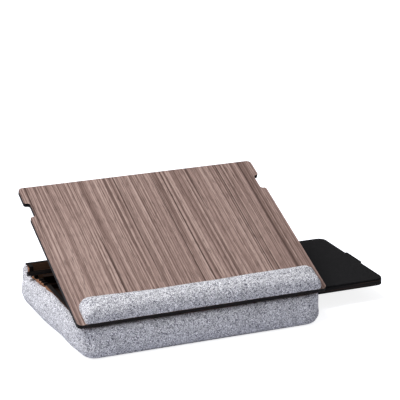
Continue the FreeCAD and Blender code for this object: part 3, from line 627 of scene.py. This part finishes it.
start = RIM_START_MM * MM
full = cover_high.z - start
for vertex in base_cushion.data.vertices:
    point = vertex.co
    back = point.y / MM
    height = max(0.0, (point.z - start) / full)
    rim = eased(RIM_MM, back) * MM
    if point.z > start:
        point.z = start + min(1.0, height) * (rim - start)
    low_share = 1 - min(1.0, height)
    spread = eased(SPREAD_MM, back) * MM * low_share
    side_share = min(1.0, abs(point.x) / box_high.x) ** SIDE_POWER
    front_share = min(1.0, max(0.0, point.y / box_low.y)) ** SIDE_POWER
    side = math.copysign(1.0, point.x)
    point.x += side * (spread - eased(NARROW_MM, back) * MM) * side_share
    point.y -= FRONT_SPREAD_MM * MM * front_share * low_share
    corner_x = max(0.0, 1 - (cover_high.x - abs(point.x)) / (CORNER_REACH_MM * MM))
    corner_y = max(0.0, 1 - (point.y - cover_low.y) / (CORNER_REACH_MM * MM))
    lifted = max(0.0, 1 - point.z / (CORNER_HIGH_MM * MM))
    draw = CORNER_DRAW_MM * MM * min(1.0, corner_x) * min(1.0, corner_y) * lifted ** LIFT_POWER
    point += Vector((-side * draw, CORNER_BACK_SHARE * draw, 0))
    outside = Vector((point.x, point.y, 0)).normalized()
    pucker = noise.noise(point * PUCKERS_PER_METRE)
    pucker += CREASE_SHARE * noise.noise(point * CREASES_PER_METRE)
    point += outside * pucker * PUCKER_MM * MM * min(1.0, point.z / (PUCKER_FULL_MM * MM))
    tuck = math.exp(-((back - TUCK_BACK_MM) / TUCK_WIDTH_MM) ** 2)
    drop = max(0.0, 1 - (rim - point.z) / (TUCK_DROP_MM * MM))
    point -= outside * TUCK_DEPTH_MM * MM * tuck * min(1.0, drop) * side_share
    point.z = max(0.0, point.z)
gap = Vector((FIT_MM, FIT_MM, 0)) * MM
cut_low = Vector((box_low.x, box_low.y, RIM_START_MM * MM)) - gap
cut_high = Vector((box_high.x, box_high.y, box_high.z + OVERRUN)) + gap
cut_away(base_cushion, cut_low, cut_high)

# %% [markdown]
# The felt stands up in front of the hinges, with a ledge for their barrels behind its edge and a
# shallow recess for their leaves. The drawer's way goes through the right side.

# %% Cut the ways for the hinges and the drawer
LEDGE_MM = 0.3
WAY_MM = 0.5
leaf_low, leaf_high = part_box("front_hinge_base_leaves")
screw_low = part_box("front_hinge_base_screws")[0]
barrel = front_axis.z - (leaf_high.z - front_axis.z)
ledge_low = Vector((box_low.x - FIT_MM * MM, leaf_low.y - LEDGE_MM * MM, barrel - LEDGE_MM * MM))
ledge_high = Vector((box_high.x + FIT_MM * MM, box_low.y + LEDGE_MM * MM, box_high.z + OVERRUN))
cut_away(base_cushion, ledge_low, ledge_high)
recess_low = Vector((leaf_low.x, screw_low.y - LEDGE_MM * MM, leaf_low.z)) - gap
recess_high = Vector((leaf_high.x, box_low.y + LEDGE_MM * MM, box_high.z)) + gap
cut_away(base_cushion, recess_low, recess_high)
drawer_low, drawer_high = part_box("drawer_board")
felt_low, felt_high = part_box("drawer_felt")
way = Vector((0, 1, 1)) * WAY_MM * MM
way_low = Vector((box_high.x - OVERRUN, drawer_low.y, drawer_low.z)) - way
way_high = Vector((solid_high.x, drawer_high.y, felt_high.z)) + way
cut_away(base_cushion, way_low, way_high)
shade_smooth(base_cushion)
base_cushion.data.materials.append(grey_felt)
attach(base_cushion, "base")
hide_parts("cushion_cover", "foam_bottom", "foam_front", "foam_back", "foam_left",
            "foam_right")
print("cushion done with", len(base_cushion.data.polygons), "faces")

# %% [markdown]
# The wrist rest is a foam bar in the same felt, glued along the front of the top, a little further
# to the right than to the left. It is modelled flat at the hinge line. Its rear corners are rounder
# than its front ones, so points beyond their arcs are drawn in, and the bar is then blown up. Its
# lower edges are pinched in, where the felt is pulled under, and what lies below the board is cut
# off. Last, its points are tilted with the top.

# %% Wrist rest
REST_LENGTH_MM = 360.0
REST_DEPTH_MM = 44.7
REST_HEIGHT_MM = 17.0
REST_FRONT_MM = -4.6
BOARD_TOP_MM = 8.6
REST_ROOT_MM = 5.0
REST_RIGHT_MM = 2.0
REST_FRONT_CORNER_MM = 2.5
REST_BACK_CORNER_MM = 15.0
REST_LOWER_MM = 0.5
REST_UPPER_MM = 14.0
REST_SKIN_MM = 2.8
REST_SHRINK_MM = 0.5
REST_CAP_MM = 1.5
PINCH_MM = 1.0
PINCH_HIGH_MM = 5.0
END_POWER = 20
BACK_POWER = 3
UNEVEN_MM = 0.5
UNEVEN_PER_METRE = 30.0
CLEAR_MM = 20.0
shrink = REST_SHRINK_MM
rest_low = Vector((-REST_LENGTH_MM / 2 + shrink, REST_FRONT_MM + shrink,
                   BOARD_TOP_MM - REST_ROOT_MM)) * MM
rest_high = Vector((REST_LENGTH_MM / 2 + REST_RIGHT_MM - shrink, REST_FRONT_MM + REST_DEPTH_MM - shrink,
                    BOARD_TOP_MM + REST_HEIGHT_MM - shrink)) * MM
bar = rounded_block(rest_low, rest_high, REST_FRONT_CORNER_MM * MM, REST_LOWER_MM * MM,
                    REST_UPPER_MM * MM)
wrist_rest = new_piece("wrist_rest", bar)
remesh(wrist_rest, REST_SKIN_MM)
middle = (rest_low + rest_high) / 2
half = (rest_high - rest_low) / 2
round_plan = REST_BACK_CORNER_MM * MM
for vertex in wrist_rest.data.vertices:
    point = vertex.co
    over_x = abs(point.x - middle.x) - (half.x - round_plan)
    over_y = point.y - (rest_high.y - round_plan)
    if over_x > 0 and over_y > 0:
        drawn_in = max(over_x, over_y) / math.hypot(over_x, over_y)
        point.x -= math.copysign(over_x * (1 - drawn_in), point.x - middle.x)
        point.y -= over_y * (1 - drawn_in)
swell(wrist_rest, lambda point: point.z < (BOARD_TOP_MM - HELD_MM) * MM, REST_CAP_MM)
soften(wrist_rest)
for vertex in wrist_rest.data.vertices:
    point = vertex.co
    low_share = min(1.0, max(0.0, 1 - (point.z - BOARD_TOP_MM * MM) / (PINCH_HIGH_MM * MM)))
    end_share = (abs(point.x - middle.x) / half.x) ** END_POWER
    back_share = max(0.0, (point.y - middle.y) / half.y) ** BACK_POWER
    point.x -= math.copysign(PINCH_MM * MM * low_share ** 2 * end_share, point.x - middle.x)
    point.y -= PINCH_MM * MM * low_share ** 2 * back_share
    point.z += UNEVEN_MM * MM * noise.noise(point * UNEVEN_PER_METRE) * (1 - low_share)
clear = Vector((CLEAR_MM, CLEAR_MM, 0)) * MM
root_low = rest_low - clear - Vector((0, 0, CLEAR_MM * MM))
root_high = Vector((rest_high.x, rest_high.y, BOARD_TOP_MM * MM)) + clear
cut_away(wrist_rest, root_low, root_high)
wrist_rest.data.transform(top_place)
shade_smooth(wrist_rest)
wrist_rest.data.materials.append(grey_felt)
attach(wrist_rest, "top")
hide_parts("wrist_rest_cover", "wrist_rest_foam")
print("wrist rest done with", len(wrist_rest.data.polygons), "faces")

# %% [markdown]
# A sheet of black felt is glued on the drawer board and covers its pull tab too. Its outline is
# drawn once, as the walk round a rectangle with round corners and a tab. The cut edge is soft, so
# it gets a small rounding.

# %% Drawer felt
SHEET_CORNER_MM = 12.5
SHEET_EDGE_MM = 0.8
TAB_WIDTH_MM = 49.0
TAB_OUT_MM = 3.5
TAB_ROUND_MM = 1.0
CORNER_STEPS = 8


def arc(centre, radius, start):
    """Points of a quarter turn to the left."""
    turns = [math.radians(start + 90 * step / CORNER_STEPS) for step in range(CORNER_STEPS + 1)]
    return [centre + radius * Vector((math.cos(turn), math.sin(turn), 0)) for turn in turns]


corner = SHEET_CORNER_MM * MM
end = felt_high.x - TAB_OUT_MM * MM
half_tab = TAB_WIDTH_MM / 2 * MM
drawer_middle = (felt_low.y + felt_high.y) / 2
level = felt_low.z
tab_round = TAB_ROUND_MM * MM
outline = [
    *arc(Vector((end - corner, felt_low.y + corner, level)), corner, -90),
    Vector((end, drawer_middle - half_tab, level)),
    *arc(Vector((felt_high.x - tab_round, drawer_middle - half_tab + tab_round, level)), tab_round, -90),
    *arc(Vector((felt_high.x - tab_round, drawer_middle + half_tab - tab_round, level)), tab_round, 0),
    Vector((end, drawer_middle + half_tab, level)),
    *arc(Vector((end - corner, felt_high.y - corner, level)), corner, 0),
    *arc(Vector((felt_low.x + corner, felt_high.y - corner, level)), corner, 90),
    *arc(Vector((felt_low.x + corner, felt_low.y + corner, level)), corner, 180),
]
bm = bmesh.new()
under = bm.faces.new([bm.verts.new(point) for point in reversed(outline)])
grown = bmesh.ops.extrude_face_region(bm, geom=[under], use_keep_orig=True)
raised = [item for item in grown["geom"] if isinstance(item, bmesh.types.BMVert)]
bmesh.ops.translate(bm, vec=(0, 0, felt_high.z - felt_low.z), verts=raised)
bmesh.ops.recalc_face_normals(bm, faces=bm.faces)
rim = [edge for edge in bm.edges if all(abs(vert.co.z - felt_high.z) < MM / 100 for vert in edge.verts)]
bmesh.ops.bevel(bm, geom=rim, offset=SHEET_EDGE_MM * MM, offset_type="OFFSET", segments=3, profile=0.5,
                affect="EDGES", material=-1)
drawer_sheet = new_piece("drawer_sheet", bm)
drawer_sheet.data.materials.append(black_felt)
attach(drawer_sheet, "drawer")
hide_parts("drawer_felt")
print("drawer felt has", len(drawer_sheet.data.polygons), "faces")

# %% [markdown]
# The floor is a pale paper sweep. It takes the object's shadow, and adds light of its own only to
# what the camera sees, so that it reads as white without lighting the object. The room is dim and
# even. A large softbox hangs above, towards the left, and a weak one stands at the left, as the
# shading of the felt shows.

# %% Floor and light
FLOOR_HALF = 6.0
PAPER = "#D8DAE4"
WHITE = "#FFFFFF"
PAPER_LIFT = 0.85
ROOM_LEVEL = 0.27
bm = bmesh.new()
bmesh.ops.create_grid(bm, x_segments=1, y_segments=1, size=FLOOR_HALF)
floor = new_piece("floor", bm)
paper = bpy.data.materials.new("pale_paper")
paper.use_nodes = True
tree = paper.node_tree
tree.nodes.remove(tree.nodes["Principled BSDF"])
path = add(tree, "ShaderNodeLightPath")
lift = add(tree, "ShaderNodeMath", {0: path.outputs["Is Camera Ray"], 1: PAPER_LIFT},
           operation="MULTIPLY")
matt = add(tree, "ShaderNodeBsdfDiffuse", {"Color": linear(PAPER)})
glow = add(tree, "ShaderNodeEmission", {"Color": linear(WHITE), "Strength": lift.outputs["Value"]})
both = add(tree, "ShaderNodeAddShader", {0: matt.outputs["BSDF"], 1: glow.outputs["Emission"]})
tree.links.new(both.outputs["Shader"], tree.nodes["Material Output"].inputs["Surface"])
floor.data.materials.append(paper)

world = bpy.data.worlds.new("studio")
bpy.context.scene.world = world
world.use_nodes = True
tree = world.node_tree
path = add(tree, "ShaderNodeLightPath")
room = add(tree, "ShaderNodeMapRange",
           {"Value": path.outputs["Is Camera Ray"], "To Min": ROOM_LEVEL, "To Max": 1.0})
tree.links.new(room.outputs["Result"], tree.nodes["Background"].inputs["Strength"])
tree.nodes["Background"].inputs["Color"].default_value = linear(WHITE)


def softbox(name, place, size, watts):
    """A square soft light that looks at the stand."""
    data = bpy.data.lights.new(name, "AREA")
    data.shape = "SQUARE"
    data.size = size
    data.energy = watts
    light = bpy.data.objects.new(name, data)
    bpy.context.scene.collection.objects.link(light)
    turned = (AIM - place).to_track_quat("-Z", "Y").to_matrix().to_4x4()
    light.matrix_world = Matrix.Translation(place) @ turned


softbox("overhead", place=Vector((-1.1, -0.15, 2.3)), size=1.6, watts=76.0)
softbox("side", place=Vector((-3.0, 0.3, 0.9)), size=1.5, watts=6.0)
bpy.context.scene.view_settings.view_transform = "Standard"
print("light and floor set")
